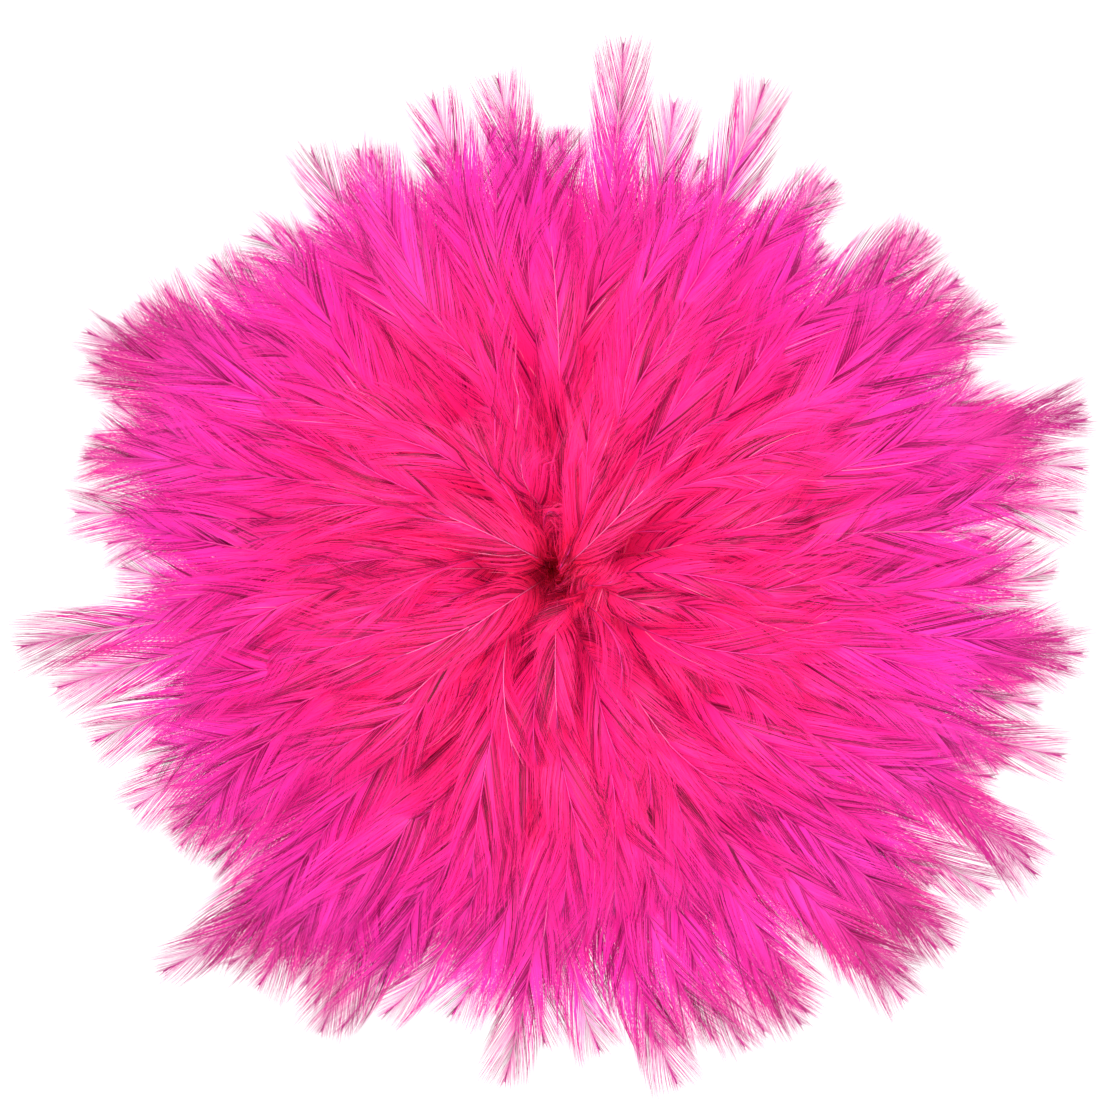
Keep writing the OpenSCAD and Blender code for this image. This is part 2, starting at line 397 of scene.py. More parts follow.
# ---------------------------------------------------------------- one feather
def feather_line(place, base_radius, tip_radius, drift, curl, flick, length_scale):
    """Middle line of a feather in its own upright plane: out, sideways and up, (LINE_POINTS, 3)."""
    root = np.array([base_radius, SHAFT_START])
    leave = np.array([base_radius, QUILL_TOP])
    rise = leave + [np.interp(place, PLACES, RISE_OUT), np.interp(place, PLACES, RISE_UP)]
    bend = np.array([np.interp(place, PLACES, BEND_RADIUS), np.interp(place, PLACES, BEND_HEIGHT)])
    tip = np.array([tip_radius, np.interp(place, PLACES, TIP_HEIGHT)])
    bend = leave + (bend - leave) * length_scale
    tip = leave + (tip - leave) * length_scale
    t = np.linspace(0, 1, LINE_POINTS)
    s = t[:, None]
    curve = (1 - s) ** 3 * root + 3 * (1 - s) ** 2 * s * rise + 3 * (1 - s) * s**2 * bend + s**3 * tip
    return np.column_stack([curve[:, 0], drift * t**DRIFT_POWER + curl * t**CURL_POWER,
                            curve[:, 1] + flick * t**FLICK_POWER])


def along_line(line):
    """Distance along a line as a share of its length, and the length."""
    steps = np.linalg.norm(np.diff(line, axis=0), axis=1)
    run = np.concatenate([[0], np.cumsum(steps)])
    return run / run[-1], run[-1]


def line_frames(line, roll):
    """Unit tangent, upper-face normal and side of a feather at each point of its line."""
    tangent = np.gradient(line, axis=0)
    tangent /= np.linalg.norm(tangent, axis=1)[:, None]
    normal = np.column_stack([-tangent[:, 2], np.zeros(len(line)), tangent[:, 0]])
    normal -= (normal * tangent).sum(axis=1)[:, None] * tangent
    normal /= np.linalg.norm(normal, axis=1)[:, None]
    side = np.cross(normal, tangent)
    turn = (roll * np.linspace(0.2, 1, len(line)))[:, None]
    return tangent, np.cos(turn) * normal + np.sin(turn) * side, np.cos(turn) * side - np.sin(turn) * normal


def sample(share, table, at):
    """A table with one row for each share of a line's length, read at other shares."""
    inside = np.clip(at, 0, 1)
    return np.stack([np.interp(inside, share, table[:, axis]) for axis in range(3)], axis=-1)


def barb_edges(length, bare):
    """Shares of the length at which the barbs of one vane begin and end, closer together near the tip."""
    stations = np.linspace(0, 1, 101)
    pitch = np.interp(stations, *BARB_PITCH)
    barbs_passed = np.concatenate([[0], np.cumsum(np.diff(stations) * length / pitch[1:])])
    first = np.interp(bare, stations, barbs_passed)
    last = barbs_passed[-1] - 2
    return np.interp(np.linspace(first, last, int(last - first) + 1), barbs_passed, stations)


def clumps_of(start, rng):
    """Barbs cling together in clumps. Gives each barb's clump, and where the middle of that clump is."""
    clump = np.cumsum(rng.random(len(start)) < np.interp(start, *CLUMP_BREAK_CHANCE))
    middles = np.bincount(clump, weights=start) / np.maximum(np.bincount(clump), 1)
    return clump, middles[clump]


def from_root(steps):
    """Running sums along the barbs, which begin at nothing."""
    return np.concatenate([np.zeros((len(steps), 1)), np.cumsum(steps, axis=1)], axis=1)


def barb_paths(share, length, line, frames, side_sign, start, look, rng):
    """Middle lines of one vane's barbs, (barbs, stations, 3), the face normal beside them, and tones."""
    tangent, normal, side = frames
    count = len(start)
    v = BARB_STATIONS
    step = np.diff(v)

    # half width of the vane, and the angle at which each barb leaves the shaft
    grow = np.clip((start - look["bare"]) / VANE_GROWS_OVER, 0, 1) ** VANE_GROWTH_POWER
    close = np.clip((1 - start) / look["taper"], 0, 1) ** look["point"]
    width = look["half_width"] * grow * (TIP_WIDTH_SHARE + (1 - TIP_WIDTH_SHARE) * close)
    width *= 1 + WIDTH_WAVE * np.sin(start * look["wave"] + look["phase"])
    leave = np.radians(np.interp(start, *LEAVE_DEG))
    leave *= 1 + LEAVE_WAVE * np.sin(start * look["wave"] * LEAVE_WAVE_RATE - look["phase"])
    down = np.clip((look["down"] - start) / DOWN_FADES_OVER, 0, 1)

    # a clump stands off the vane together, and its barbs a little apart
    clump, clump_middle = clumps_of(start, rng)
    # a random tone for each clump and barb; its dark end is painted shade between them
    clump_tone = rng.random(clump[-1] + 1)[clump]
    stand = CLUMP_STAND * rng.normal(0, 1, clump[-1] + 1)[clump] + BARB_STAND * rng.normal(0, 1, count)
    stand = stand * np.interp(start, *PUFF) * look["puff"] + look["dihedral"]

    # a barb bends towards the feather's tip as it runs out
    bend = leave[:, None] * (1 - np.interp(start, *STRAIGHTENING)[:, None] * v)
    bend = bend + (BARB_BEND_SPREAD + DOWN_BEND_SPREAD * down[:, None]) * rng.normal(0, 1, (count, 1)) * v
    middle_bend = (bend[:, 1:] + bend[:, :-1]) / 2
    out = from_root(np.sin(middle_bend) * step)
    forward = from_root(np.cos(middle_bend) * step)
    reach = width / np.maximum(out[:, -1], LEAST_SIDEWAYS) * (1 + rng.normal(0, BARB_LENGTH_SPREAD, count))
    room = (1 - start) * length * PAST_TIP_SHARE + BARB_PAST_TIP
    reach = np.minimum(reach, np.minimum(BARB_LONGEST, room))
    reach *= np.where(rng.random(count) < SHORT_BARB_CHANCE, SHORT_BARB, 1)
    out = out * reach[:, None]
    to_clump = np.interp(start, *CLING) * (clump_middle - start)
    forward = forward * reach[:, None] + to_clump[:, None] * length * v**1.5

    # place each barb beside the shaft, and past the shaft's end in line with it
    at = start[:, None] + forward / length
    beyond = np.maximum(at - 1, 0) * length
    t_at, n_at, s_at = (sample(share, table, at) for table in (tangent, normal, side))
    lift = out * np.sin(stand)[:, None] - out**2 / look["half_width"] * look["camber"]
    lift += down[:, None] * rng.normal(0, DOWN_LOFT, (count, 1)) * v
    aside = side_sign * out * np.cos(stand)[:, None]
    paths = sample(share, line, at) + beyond[..., None] * t_at
    paths += aside[..., None] * s_at + lift[..., None] * n_at
    return paths, n_at, CLUMP_TONE_SHARE * clump_tone + (1 - CLUMP_TONE_SHARE) * rng.random(count)


def vane(share, length, line, frames, side_sign, look, rng):
    """One comb of barbs, joined along the shaft. Returns points, faces and the values of each vertex."""
    edge = barb_edges(length, look["bare"])
    start = (edge[:-1] + edge[1:]) / 2
    count = len(start)
    barb, n_at, tone = barb_paths(share, length, line, frames, side_sign, start, look, rng)

    # each barb is a flat blade, turned a little about its own length
    v = BARB_STATIONS
    run = np.gradient(barb, v, axis=1)
    run /= np.linalg.norm(run, axis=2)[..., None]
    across = np.cross(n_at, run)
    across /= np.linalg.norm(across, axis=2)[..., None]
    twist = rng.normal(0, BARB_TWIST_SPREAD, (count, 1, 1)) * v[None, :, None]
    across = np.cos(twist) * across + np.sin(twist) * np.cross(run, across)
    half = np.interp(start, *BARB_WIDTH)[:, None] / 2 * (1 - BARB_TAPER * v)
    left = barb + across * half[..., None]
    right = barb - across * half[..., None]

    inner = len(v) - 2
    points = np.concatenate([sample(share, line, edge), left[:, 1:-1].reshape(-1, 3),
                             right[:, 1:-1].reshape(-1, 3), barb[:, -1]])
    index = np.arange(count)
    lefts = count + 1 + index[:, None] * inner + np.arange(inner)
    rights = lefts + count * inner
    ends = 1 + count * (1 + 2 * inner) + index
    near, far = (index, index + 1) if side_sign > 0 else (index + 1, index)
    quads = [np.column_stack([near, far, lefts[:, 0], rights[:, 0]])]
    quads += [np.column_stack([rights[:, k], lefts[:, k], lefts[:, k + 1], rights[:, k + 1]])
              for k in range(inner - 1)]
    tips = np.column_stack([rights[:, -1], lefts[:, -1], ends])

    tones = np.concatenate([np.full(count + 1, 0.5), np.repeat(tone, inner), np.repeat(tone, inner), tone])
    lengths = np.concatenate([edge, np.repeat(start, inner), np.repeat(start, inner), start])
    values = np.column_stack([tones, lengths, np.full(len(points), look["tone"])])
    return points, quads + [tips], values


def shaft(share, line, frames, look):
    """A tapered shaft along the feather's line, a little proud of the barbs."""
    stations = np.linspace(0, 1, SHAFT_STATIONS)
    radius = SHAFT_RADIUS + (SHAFT_TIP_RADIUS - SHAFT_RADIUS) * stations**SHAFT_TAPER_POWER
    path = sample(share, line, stations) + SHAFT_PROUD * sample(share, frames[1], stations)
    points, faces = tube(path, radius, sides=SHAFT_SIDES)
    values = np.column_stack([np.full(len(points), look["pale_shaft"]), np.repeat(stations, SHAFT_SIDES),
                              np.full(len(points), look["tone"])])
    return points, faces, values


def turned(points, azimuth):
    """Points turned about the rosette's axis."""
    c, s = math.cos(azimuth), math.sin(azimuth)
    x, y, z = points.T
    return np.column_stack([x * c - y * s, x * s + y * c, z])


def loosened(spread, loose):
    """A spread given as (at the rim, added at the eye), for how loose a feather stands, from 0 to 1."""
    at_rim, added = spread
    return at_rim + added * loose


def ordinary_stance(number, rng):
    """How a feather stands: azimuth, tip radius, size and bends. Feathers are looser near the eye."""
    place = feather_place(number)
    loose = (1 - place) ** 2
    azimuth = feather_angle(number) + rng.normal(0, loosened(AZIMUTH_SPREAD, loose**3))
    azimuth_deg = wrapped(math.degrees(azimuth))
    swirl = sum(size * math.sin(round_waves * azimuth + out_waves * place + phase)
                for size, round_waves, out_waves, phase in SWIRLS)
    drift = (swirl + rng.normal(0, loosened(DRIFT_SPREAD, loose))) * DRIFT_LENGTH
    tip_radius = np.interp(place, PLACES, TIP_RADIUS) + rng.normal(0, rim_spread(azimuth_deg))
    tip_radius += rim_change(azimuth_deg) * place**2
    scale = 1 + rng.normal(0, LENGTH_SPREAD) - SHORTER_BY * (rng.random() < SHORTER_CHANCE)
    curl = np.clip(rng.normal(0, loosened(CURL_SPREAD, loose)), -CURL_MOST, CURL_MOST)
    flick = rng.normal(0, FLICK_SPREAD) + EYE_FLICK * loose * (rng.random() < EYE_FLICK_CHANCE)
    roll = rng.normal(0, loosened(ROLL_SPREAD, loose))
    half_width = rng.normal(MEAN_HALF_WIDTH, WIDTH_SPREAD) * (1 - EYE_NARROWING * loose)
    puff = rng.uniform(*PUFF_RANGE)
    dihedral = rng.normal(0, DIHEDRAL_SPREAD)
    narrow = rng.random() < NARROW_CHANCE * loose
    if narrow:
        half_width *= NARROW_WIDTH
        curl *= NARROW_CURL
        scale = 1
    if place < FILLER_PLACE and rng.random() < FILLER_CHANCE:
        tip_radius = rng.normal(*FILLER_TIP)
        scale = rng.uniform(*FILLER_LENGTH)
    return {"azimuth": azimuth, "tip_radius": tip_radius, "half_width": half_width, "drift": drift,
            "curl": curl, "flick": flick, "roll": roll, "puff": puff, "dihedral": dihedral, "scale": scale}


def add_feather(parts, number, lone_feathers):
    """Adds one feather of the strip to the parts of its tuft."""
    rng = np.random.default_rng([SEED, number])
    place = feather_place(number)
    lone = number in lone_feathers
    stance = ordinary_stance(number, rng)
    if lone:
        stance = lone_feathers[number]
    line = feather_line(place, strip_radius(feather_angle(number)), stance["tip_radius"], stance["drift"],
                        stance["curl"], stance["flick"], stance["scale"])
    share, length = along_line(line)
    frames = line_frames(line, stance["roll"])
    look = {
        "bare": BARE_SHAFT / length,
        "down": DOWN_SHARE + rng.normal(0, DOWN_SHARE_SPREAD),
        "half_width": stance["half_width"],
        "taper": rng.uniform(*TAPER_RANGE),
        "point": rng.uniform(*POINT_RANGE),
        "wave": rng.uniform(*WAVE_RANGE),
        "phase": rng.uniform(*PHASE_RANGE),
        "puff": stance["puff"],
        "dihedral": stance["dihedral"],
        "camber": rng.uniform(*CAMBER_RANGE),
        "tone": max(rng.random(), LONE_TONE * lone),
        "pale_shaft": float((lone and place < PALE_SHAFT_PLACE) or rng.random() < PALE_SHAFT_CHANCE),
    }
    for side_sign in (1, -1):
        points, faces, values = vane(share, length, line, frames, side_sign, look, rng)
        parts.add(turned(points, stance["azimuth"]), faces, values)
    points, faces, values = shaft(share, line, frames, look)
    parts.add(turned(points, stance["azimuth"]), faces, values, slot=1)


# ---------------------------------------------------------------- materials
# colours of the barbs from the rosette's axis (0) to its rim (1): pinker outwards, and the redder middle is
# painted shade for the depth of the roll
BARB_COLOURS = [(0.0, (0.98, 0.034, 0.22)), (0.1, (0.98, 0.034, 0.31)), (0.17, (0.98, 0.034, 0.35)),
                (0.3, (0.98, 0.034, 0.37)), (0.47, (0.98, 0.034, 0.42)), (0.63, (0.97, 0.042, 0.59)),
                (0.77, (0.95, 0.065, 0.68)), (0.88, (0.79, 0.055, 0.49)), (1.0, (0.57, 0.035, 0.34))]
# what a barb's tone, from dark (0) to light (1), and its feather's shade do to its colour. The tone differs
# at random by barb and clump, and its dark end is painted shade between barbs and clumps
TONE_COLOURS = [(0.1, (0.13, 0.04, 0.08)), (0.3, (0.5, 0.36, 0.38)), (0.45, (0.92, 0.84, 0.88)),
                (1.0, (1.0, 1.0, 0.93))]
SHADE_COLOURS = [(0.0, (0.97, 0.72, 0.84)), (1.0, (1.0, 1.0, 0.82))]
# the darkest tone of a barb rises from the rosette's edge outwards: painted light, for fine tips that let
# light through
LEAST_TONE_PAINTED_BACKLIGHT = [(0.8, (0, 0, 0)), (0.95, (0.34, 0.34, 0.34))]
# a painted glow in the barbs' own colour, for light that scatters between the feathers: where it reaches,
# not into the eye
PAINTED_GLOW_DEPTH = [(0.02, (0, 0, 0)), (0.07, (1, 1, 1))]
PAINTED_SCATTER_GLOW = 0.3
BARB_LETS_THROUGH = 0.55
SHAFT_LETS_THROUGH = 0.25
# a few barbs get a painted glint where they would catch the light, and some shafts are paler than the barbs
PAINTED_GLINT = (1, 0.35, 0.62)
PAINTED_GLINT_FROM_TONE = 0.965
PAINTED_GLINT_STRENGTH = 0.6
# colours of a shaft from the quill (0) to the tip (1)
SHAFT_COLOURS = [(0, (0.6, 0.03, 0.15)), (0.4, (0.97, 0.045, 0.34)), (0.7, (0.88, 0.04, 0.38)),
                 (0.94, (0.7, 0.03, 0.34)), (1, (0.4, 0.01, 0.2))]
PALE_SHAFT = (1, 0.3, 0.55)
PALE_SHAFT_STRENGTH = 0.45
DARK_TIP_FROM = 0.95


class Shader:
    """A new material with a Principled surface, and short calls for the nodes that feed it."""

    def __init__(self, name, roughness):
        self.material = bpy.data.materials.new(name)
        self.material.use_nodes = True
        tree = self.material.node_tree
        self.nodes, self.links = tree.nodes, tree.links
        self.surface = self.nodes["Principled BSDF"]
        self.output = self.nodes["Material Output"]
        self.surface.inputs["Roughness"].default_value = roughness

    def attribute(self, name):
        node = self.nodes.new("ShaderNodeAttribute")
        node.attribute_name = name
        return node.outputs["Fac"]

    def math(self, operation, *values):
        """A Math node. Each value is a number or a socket."""
        node = self.nodes.new("ShaderNodeMath")
        node.operation = operation
        for socket, value in zip(node.inputs, values):
            if isinstance(value, (int, float)):
                socket.default_value = value
            else:
                self.links.new(value, socket)
        return node.outputs["Value"]

    def ramp(self, factor, stops):
        """A colour ramp fed by a factor, from (position, colour) stops."""
        node = self.nodes.new("ShaderNodeValToRGB")
        for _ in range(len(stops) - 2):
            node.color_ramp.elements.new(0.5)
        for element, (position, colour) in zip(node.color_ramp.elements, stops):
            element.position = position
            element.color = (*colour, 1)
        self.links.new(factor, node.inputs["Fac"])
        return node.outputs["Color"]

    def times(self, colour, factor):
        node = self.nodes.new("ShaderNodeMix")
        node.data_type = "RGBA"
        node.blend_type = "MULTIPLY"
        node.inputs["Factor"].default_value = 1
        self.links.new(colour, node.inputs["A"])
        self.links.new(factor, node.inputs["B"])
        return node.outputs["Result"]

    def towards(self, colour, target, factor):
        """A colour mixed towards a fixed one by a factor socket."""
        node = self.nodes.new("ShaderNodeMix")
        node.data_type = "RGBA"
        self.links.new(colour, node.inputs["A"])
        node.inputs["B"].default_value = (*target, 1)
        self.links.new(factor, node.inputs["Factor"])
        return node.outputs["Result"]

    def noise(self, scale, stretch=(1, 1, 1), detail=3):
        """Noise in the object's own frame, stretched along its axes."""
        place = self.nodes.new("ShaderNodeTexCoord")
        mapping = self.nodes.new("ShaderNodeMapping")
        mapping.inputs["Scale"].default_value = stretch
        node = self.nodes.new("ShaderNodeTexNoise")
        node.inputs["Scale"].default_value = scale
        node.inputs["Detail"].default_value = detail
        self.links.new(place.outputs["Object"], mapping.inputs["Vector"])
        self.links.new(mapping.outputs["Vector"], node.inputs["Vector"])
        return node.outputs["Fac"]

    def round_the_axis(self):
        """Angle round the rosette's axis in radians, and height in metres."""
        place = self.nodes.new("ShaderNodeTexCoord")
        split = self.nodes.new("ShaderNodeSeparateXYZ")
        self.links.new(place.outputs["Object"], split.inputs["Vector"])
        return self.math("ARCTAN2", split.outputs["Y"], split.outputs["X"]), split.outputs["Z"]

    def relief(self, height, depth):
        bump = self.nodes.new("ShaderNodeBump")
        bump.inputs["Distance"].default_value = depth
        self.links.new(height, bump.inputs["Height"])
        self.links.new(bump.outputs["Normal"], self.surface.inputs["Normal"])

    def colour(self, colour):
        self.links.new(colour, self.surface.inputs["Base Color"])

    def emission(self, colour, strength):
        self.links.new(colour, self.surface.inputs["Emission Color"])
        self.surface.inputs["Emission Strength"].default_value = strength

    def glow(self, colour, share):
        """Gives the surface a colour, and lets a share of the light through it."""
        self.colour(colour)
        through = self.nodes.new("ShaderNodeBsdfTranslucent")
        mix = self.nodes.new("ShaderNodeMixShader")
        mix.inputs["Fac"].default_value = share
        self.links.new(colour, through.inputs["Color"])
        self.links.new(self.surface.outputs["BSDF"], mix.inputs[1])
        self.links.new(through.outputs["BSDF"], mix.inputs[2])
        self.links.new(mix.outputs["Shader"], self.output.inputs["Surface"])


def barb_material():
    """Dyed barbs: pinker outwards, every clump and feather a slightly different shade, lit through. The
    redder middle and the darkest tones are painted shade, with painted glints and a painted glow for light
    scattered between the feathers.
    """
    shader = Shader("dyed_barbs", 0.5)
    spread = shader.attribute("spread")
    # at the rim the darkest tone is lifted: painted light through the fine tips
    tone = shader.math("MAXIMUM", shader.attribute("tone"), shader.ramp(spread, LEAST_TONE_PAINTED_BACKLIGHT))
    # a barb's random tone darkens its colour; the dark end is painted shade between barbs and clumps
    colour = shader.times(shader.ramp(spread, BARB_COLOURS), shader.ramp(tone, TONE_COLOURS))
    colour = shader.times(colour, shader.ramp(shader.attribute("feather"), SHADE_COLOURS))
    # painted glint on the lightest barbs
    painted_glint = shader.math("MULTIPLY", shader.math("GREATER_THAN", tone, PAINTED_GLINT_FROM_TONE), PAINTED_GLINT_STRENGTH)
    colour = shader.towards(colour, PAINTED_GLINT, painted_glint)
    shader.glow(colour, BARB_LETS_THROUGH)
    # painted glow in the barbs' own colour, for light scattered between the feathers, kept out of the eye
    shader.emission(shader.times(colour, shader.ramp(spread, PAINTED_GLOW_DEPTH)), PAINTED_SCATTER_GLOW)
    shader.surface.inputs["Specular IOR Level"].default_value = 0.25
    return shader.material


def shaft_material():
    """Dyed keratin: dark and glossy at the quill, the barbs' pink further up, dark again at the tip."""
    shader = Shader("dyed_shaft", 0.4)
    length = shader.attribute("length")
    colour = shader.ramp(length, SHAFT_COLOURS)
    pale = shader.math("MULTIPLY", shader.attribute("tone"), shader.math("LESS_THAN", length, DARK_TIP_FROM))
    pale = shader.math("MULTIPLY", pale, PALE_SHAFT_STRENGTH)
    shader.glow(shader.towards(colour, PALE_SHAFT, pale), SHAFT_LETS_THROUGH)
    return shader.material


def tape_material():
    """Plain-woven cotton tape, dyed with the feathers, with painted shade in the hollows of the weave."""
    shader = Shader("woven_tape", 0.85)
    angle, height = shader.round_the_axis()
    threads = int(2 * math.pi * (EYE_RADIUS + ROLL_DEPTH) / WEAVE_PITCH)
    weave = shader.math("MULTIPLY", shader.math("SINE", shader.math("MULTIPLY", angle, threads)),
                        shader.math("SINE", shader.math("MULTIPLY", height, 2 * math.pi / WEAVE_PITCH)))
    relief = shader.math("ADD", shader.math("MULTIPLY", weave, 0.5), shader.noise(2500))
    # colour follows the weave's relief: darker where it is low, painted shade in the weave's hollows
    shader.colour(shader.ramp(relief, [(0.1, (0.3, 0.005, 0.06)), (0.6, (0.75, 0.02, 0.22)),
                                       (1, (0.88, 0.06, 0.32))]))
    shader.relief(relief, 0.12 * MM)
    shader.surface.inputs["Sheen Weight"].default_value = 0.3
    return shader.material


def satin_material():
    """Satin ribbon: fine threads along its length, and a firm woven edge on each side."""
    shader = Shader("satin_ribbon", 0.32)
    angle, height = shader.round_the_axis()
    threads = shader.math("SINE", shader.math("MULTIPLY", height, 2 * math.pi / SATIN_PITCH))
    streaks = shader.noise(900, stretch=(1, 1, 6))
    from_middle = shader.math("ABSOLUTE", shader.math("SUBTRACT", height, (RIBBON_LOW + RIBBON_TOP) / 2))
    edge = shader.math("GREATER_THAN", from_middle, (RIBBON_TOP - RIBBON_LOW) / 2 - RIBBON_EDGE)
    ribs = shader.math("SINE", shader.math("MULTIPLY", angle, RIBS_ROUND_EDGE))
    relief = shader.math("ADD", shader.math("MULTIPLY", threads, 0.25),
                         shader.math("ADD", streaks, shader.math("MULTIPLY", edge, ribs)))
    shader.colour(shader.ramp(relief, [(0, (0.5, 0.01, 0.12)), (0.5, (0.8, 0.02, 0.25)),
                                       (1, (0.95, 0.07, 0.4))]))
    shader.relief(relief, 0.05 * MM)
    shader.surface.inputs["Anisotropic"].default_value = 0.6
    shader.surface.inputs["Sheen Weight"].default_value = 0.2
    return shader.material


def felt_material():
    """Pressed wool felt: matted fibres, darker where it has taken up more dye."""
    shader = Shader("wool_felt", 0.95)
    fibres = shader.noise(1800, detail=6)
    dye = shader.noise(60)
    shader.colour(shader.times(shader.ramp(fibres, [(0.3, (0.25, 0.004, 0.05)), (0.7, (0.6, 0.015, 0.17))]),
                               shader.ramp(dye, [(0.3, (0.75, 0.75, 0.75)), (0.7, (1, 1, 1))])))
    shader.relief(fibres, 0.3 * MM)
    shader.surface.inputs["Sheen Weight"].default_value = 0.5
    return shader.material


def thread_material():
    """Sewing thread, with the slant of its twist both on rows round the roll and on upright stitches."""
    shader = Shader("sewing_thread", 0.5)
    angle, height = shader.round_the_axis()
    slant = shader.math("ADD", shader.math("MULTIPLY", angle, THREAD_TURNS_ROUND),
                        shader.math("MULTIPLY", height, 2 * math.pi / THREAD_TWIST_PITCH))
    twist = shader.math("SINE", slant)
    shader.colour(shader.ramp(shader.math("MULTIPLY_ADD", twist, 0.5, 0.5),
                              [(0, (0.55, 0.02, 0.15)), (1, (0.95, 0.14, 0.42))]))
    shader.relief(twist, 0.05 * MM)
    shader.surface.inputs["Sheen Weight"].default_value = 0.2
    return shader.material


def quill_material():
    """Bare quill ends: translucent keratin with fine lengthwise streaks."""
    shader = Shader("quill_keratin", 0.28)
    streaks = shader.noise(1500, stretch=(1, 1, 0.1))
    shader.colour(shader.ramp(streaks, [(0.3, (0.45, 0.02, 0.12)), (0.7, (0.85, 0.12, 0.32))]))
    shader.relief(streaks, 0.04 * MM)
    shader.surface.inputs["Coat Weight"].default_value = 0.3
    return shader.material


# ---------------------------------------------------------------- pieces
def make_tufts():
    """One piece of feathers for each tuft body."""
    materials = [barb_material(), shaft_material()]
    lone_feathers = find_lone_feathers()
    tufts = {}
    for number in range(FEATHER_COUNT):
        parts = tufts.setdefault(body_of(number), Parts(("tone", "length", "feather")))
        add_feather(parts, number, lone_feathers)
    for body, parts in tufts.items():
        piece = parts.piece(f"feathers_{body}", materials)
        points = np.concatenate(parts.points)
        spread = piece.data.attributes.new("spread", "FLOAT", "POINT")
        spread.data.foreach_set("value", np.hypot(points[:, 0], points[:, 1]) / ROSETTE_RADIUS)
        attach(piece, body)
        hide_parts(f"tuft_{body}")


def on_roll(piece, node):
    """Puts a piece on the roll in place of a CAD node."""
    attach(piece, "roll")
    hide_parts(node)


def strip_path(lengths, offset, height):
    """Points at distances along the wound strip, offset outwards from its centre line."""
    angles = np.array([strip_angle(length) for length in lengths])
    reach = strip_radius(angles) + offset
    heights = np.broadcast_to(height, len(lengths))
    return np.column_stack([reach * np.cos(angles), reach * np.sin(angles), heights])


def make_tapes():
    """The two header tapes, with soft edges."""
    material = tape_material()
    angles = np.arange(0, strip_angle(STRIP_LENGTH), math.radians(4))
    for name, inner, outer in (("inner", -TAPE_OUT, -HALF_GAP), ("outer", HALF_GAP, TAPE_OUT)):
        parts = Parts()
        section = band_section(inner, outer, TAPE_LOW, TAPE_TOP, 0.4 * TAPE_THICKNESS)
        parts.add(*swept(section, angles, strip_radius(angles)))
        on_roll(parts.piece(f"woven_tape_{name}", [material]), f"header_tape_{name}")


def make_stitches(material):
    """Two rows of separate stitches through the outer tape."""
    t = np.linspace(0, 1, STITCH_POINTS)
    radius = STITCH_RADIUS * (STITCH_END_SHARE + (1 - STITCH_END_SHARE) * np.sin(math.pi * t))
    for name in ("lower", "upper"):
        low, high = (corner[2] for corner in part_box(f"stitch_thread_{name}"))
        parts = Parts()
        for number in range(int(STRIP_LENGTH / STITCH_PITCH)):
            lengths = (number + (1 - STITCH_SHARE) / 2 + STITCH_SHARE * t) * STITCH_PITCH
            path = strip_path(lengths, TAPE_OUT + STITCH_BULGE * np.sin(math.pi * t),
                              (low + high) / 2 + STITCH_LEAN * (t - 0.5))
            parts.add(*tube(path, radius))
        on_roll(parts.piece(f"stitches_{name}", [material]), f"stitch_thread_{name}")


def make_quills():
    """The bare quill ends between the tapes, rounded below and narrower above."""
    parts = Parts()
    rise, width = np.array(QUILL_PROFILE).T
    heights = QUILL_LOW + rise * (QUILL_TOP - QUILL_LOW)
    radii = width * QUILL_RADIUS
    turn = np.arange(QUILL_SIDES) * 2 * math.pi / QUILL_SIDES
    x, y = radii[:, None] * np.cos(turn), radii[:, None] * np.sin(turn)
    z = np.broadcast_to(heights[:, None], x.shape)
    faces = rings_to_faces(len(heights), QUILL_SIDES, False)
    for number in range(FEATHER_COUNT):
        angle = feather_angle(number)
        reach = strip_radius(angle)
        rings = np.stack([x + reach * math.cos(angle), y + reach * math.sin(angle), z], axis=2)
        parts.add(rings.reshape(-1, 3), faces)
    on_roll(parts.piece("quill_ends", [quill_material()]), "quills")


def make_ribbon(thread):
    """The satin ribbon, drawn in a little at its join, with the stitches that close it."""
    inner = RIBBON_OUTER - RIBBON_THICKNESS
    half_gap = RIBBON_JOIN_GAP / 2 / RIBBON_OUTER
    join = math.radians(RIBBON_JOIN_DEG)
    angles = join + np.linspace(half_gap, 2 * math.pi - half_gap, 361)
    from_join = np.minimum(angles - join, 2 * math.pi - (angles - join))
    pucker = RIBBON_PUCKER * np.sin(from_join * PUCKER_WAVES) * np.exp(-from_join / PUCKER_FADES_OVER)
    parts = Parts()
    section = band_section(0, RIBBON_THICKNESS, RIBBON_LOW, RIBBON_TOP, 0.25 * RIBBON_THICKNESS)
    parts.add(*swept(section, angles, inner - np.abs(pucker)))
    on_roll(parts.piece("satin_band", [satin_material()]), "neck_ribbon")

    parts = Parts()
    t = np.linspace(-1, 1, 9)
    for number in range(RIBBON_STITCHES):
        height = RIBBON_LOW + (number + 0.5) * (RIBBON_TOP - RIBBON_LOW) / RIBBON_STITCHES
        turn = join + RIBBON_STITCH_REACH * half_gap * t
        reach = RIBBON_OUTER - RIBBON_STITCH_SINK + RIBBON_STITCH_BULGE * np.cos(t * math.pi / 2)
        path = np.column_stack([reach * np.cos(turn), reach * np.sin(turn), height + RIBBON_STITCH_LEAN * t])
        parts.add(*tube(path, RIBBON_STITCH_RADIUS))
    on_roll(parts.piece("join_stitches", [thread]), "ribbon_stitches")


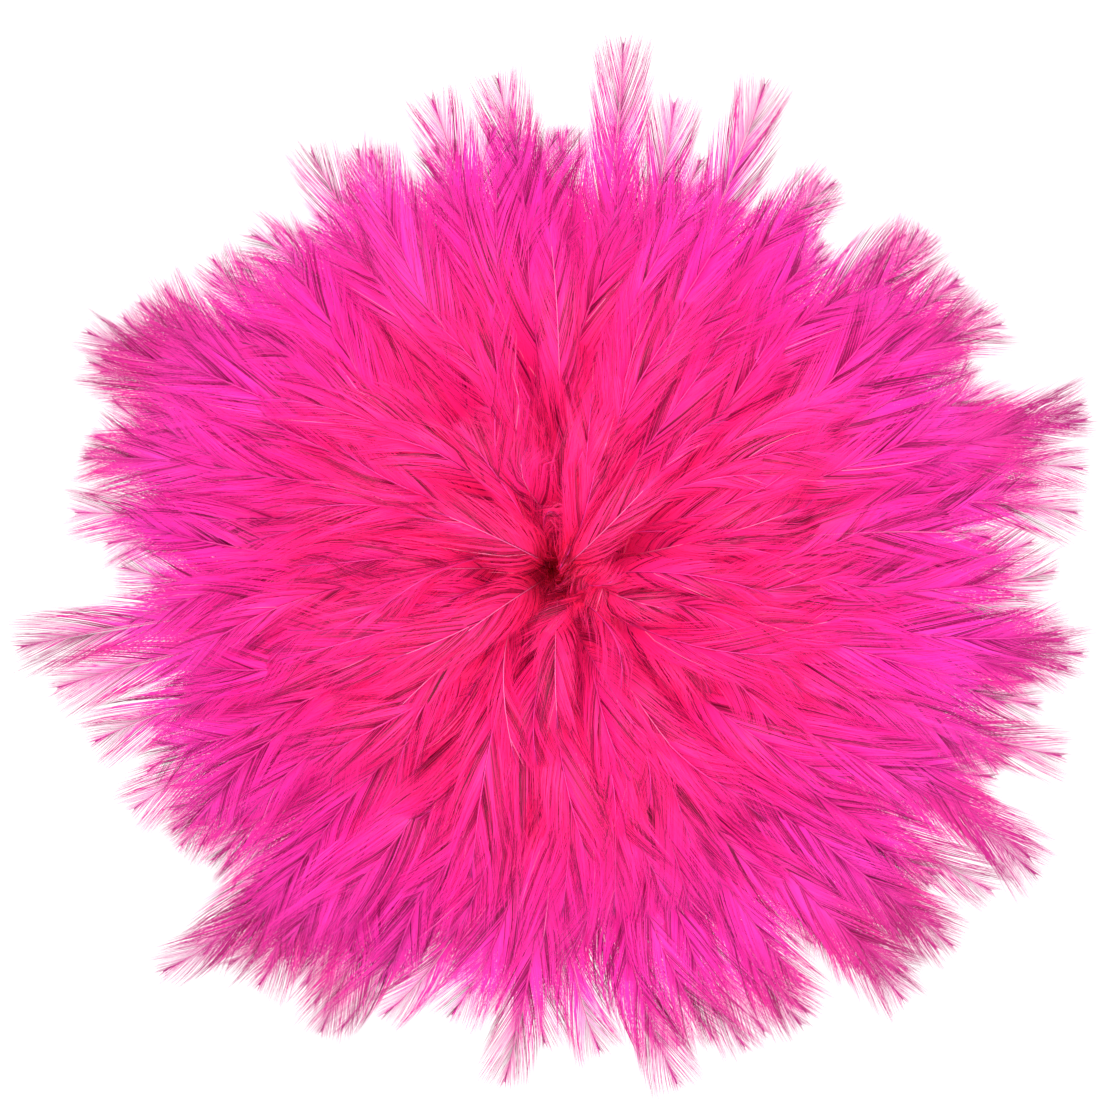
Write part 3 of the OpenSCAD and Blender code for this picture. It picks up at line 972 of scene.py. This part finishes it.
def make_felt():
    """The felt disc, with a cut edge that is softly rounded and not quite even."""
    profile = [(0.5, 0), (0.97, 0), (0.99, 0.06), (1, 0.25), (1, 0.7), (0.992, 0.92), (0.975, 1), (0.5, 1)]
    angles = np.linspace(0, 2 * math.pi, 180, endpoint=False)
    rings = []
    for share, rise in profile:
        uneven = FELT_UNEVEN * np.sin(9 * angles + 1) * np.sin(23 * angles) * share**8
        reach = share * FELT_RADIUS - np.abs(uneven)
        heights = np.full(len(angles), rise * FELT_THICKNESS)
        rings.append(np.column_stack([reach * np.cos(angles), reach * np.sin(angles), heights]))
    parts = Parts()
    parts.add(np.concatenate(rings), rings_to_faces(len(rings), len(angles), False))
    on_roll(parts.piece("felt_disc", [felt_material()]), "backing_disc")


# ---------------------------------------------------------------- floor, light and camera
FLOOR_SIZE = 8
FLOOR_DROP = 0.5 * MM
FLOOR_GREY = (0.06, 0.06, 0.06, 1)
FLOOR_GLOW = 0.985
SURROUNDINGS_STRENGTH = 0.81
WHITE = (1, 1, 1, 1)


def make_floor():
    """A pale floor, mostly self-lit, so that it stays white under the rosette."""
    bpy.ops.mesh.primitive_plane_add(size=FLOOR_SIZE, location=(0, 0, -FLOOR_DROP))
    plane = bpy.context.object
    plane.name = "floor"
    shader = Shader("pale_floor", 0.9)
    shader.surface.inputs["Base Color"].default_value = FLOOR_GREY
    shader.surface.inputs["Emission Color"].default_value = WHITE
    shader.surface.inputs["Emission Strength"].default_value = FLOOR_GLOW
    plane.data.materials.append(shader.material)


def make_light(name, place, size, power):
    """A soft square light that faces the rosette."""
    data = bpy.data.lights.new(name, "AREA")
    data.size = size
    data.energy = power
    light = bpy.data.objects.new(name, data)
    light.location = place
    light.rotation_euler = (-Vector(place)).to_track_quat("-Z", "Y").to_euler()
    bpy.context.collection.objects.link(light)


def make_camera():
    """Straight above, with the rosette filling the picture."""
    data = bpy.data.cameras.new("camera")
    view = bpy.data.objects.new("camera", data)
    height = 1.3
    seen_width = 314.7 * MM
    mean_tip_height = 17 * MM
    centre_x, centre_y = -1.7 * MM, 5.7 * MM
    data.lens = data.sensor_width * height / seen_width
    data.clip_end = 20
    view.location = (centre_x, centre_y, height + mean_tip_height)
    bpy.context.collection.objects.link(view)
    bpy.context.scene.camera = view


def make_surroundings():
    """Even white light from all round."""
    world = bpy.data.worlds.new("studio")
    world.use_nodes = True
    background = world.node_tree.nodes["Background"]
    background.inputs["Color"].default_value = WHITE
    background.inputs["Strength"].default_value = SURROUNDINGS_STRENGTH
    bpy.context.scene.world = world
    bpy.context.scene.view_settings.view_transform = "Standard"


make_tufts()
make_tapes()
thread = thread_material()
make_stitches(thread)
make_quills()
make_ribbon(thread)
make_felt()
make_floor()
make_light("key", place=(-0.2, 0.25, 1.25), size=0.6, power=20)
make_light("fill", place=(0.7, -0.3, 0.9), size=1.0, power=10)
make_camera()
make_surroundings()
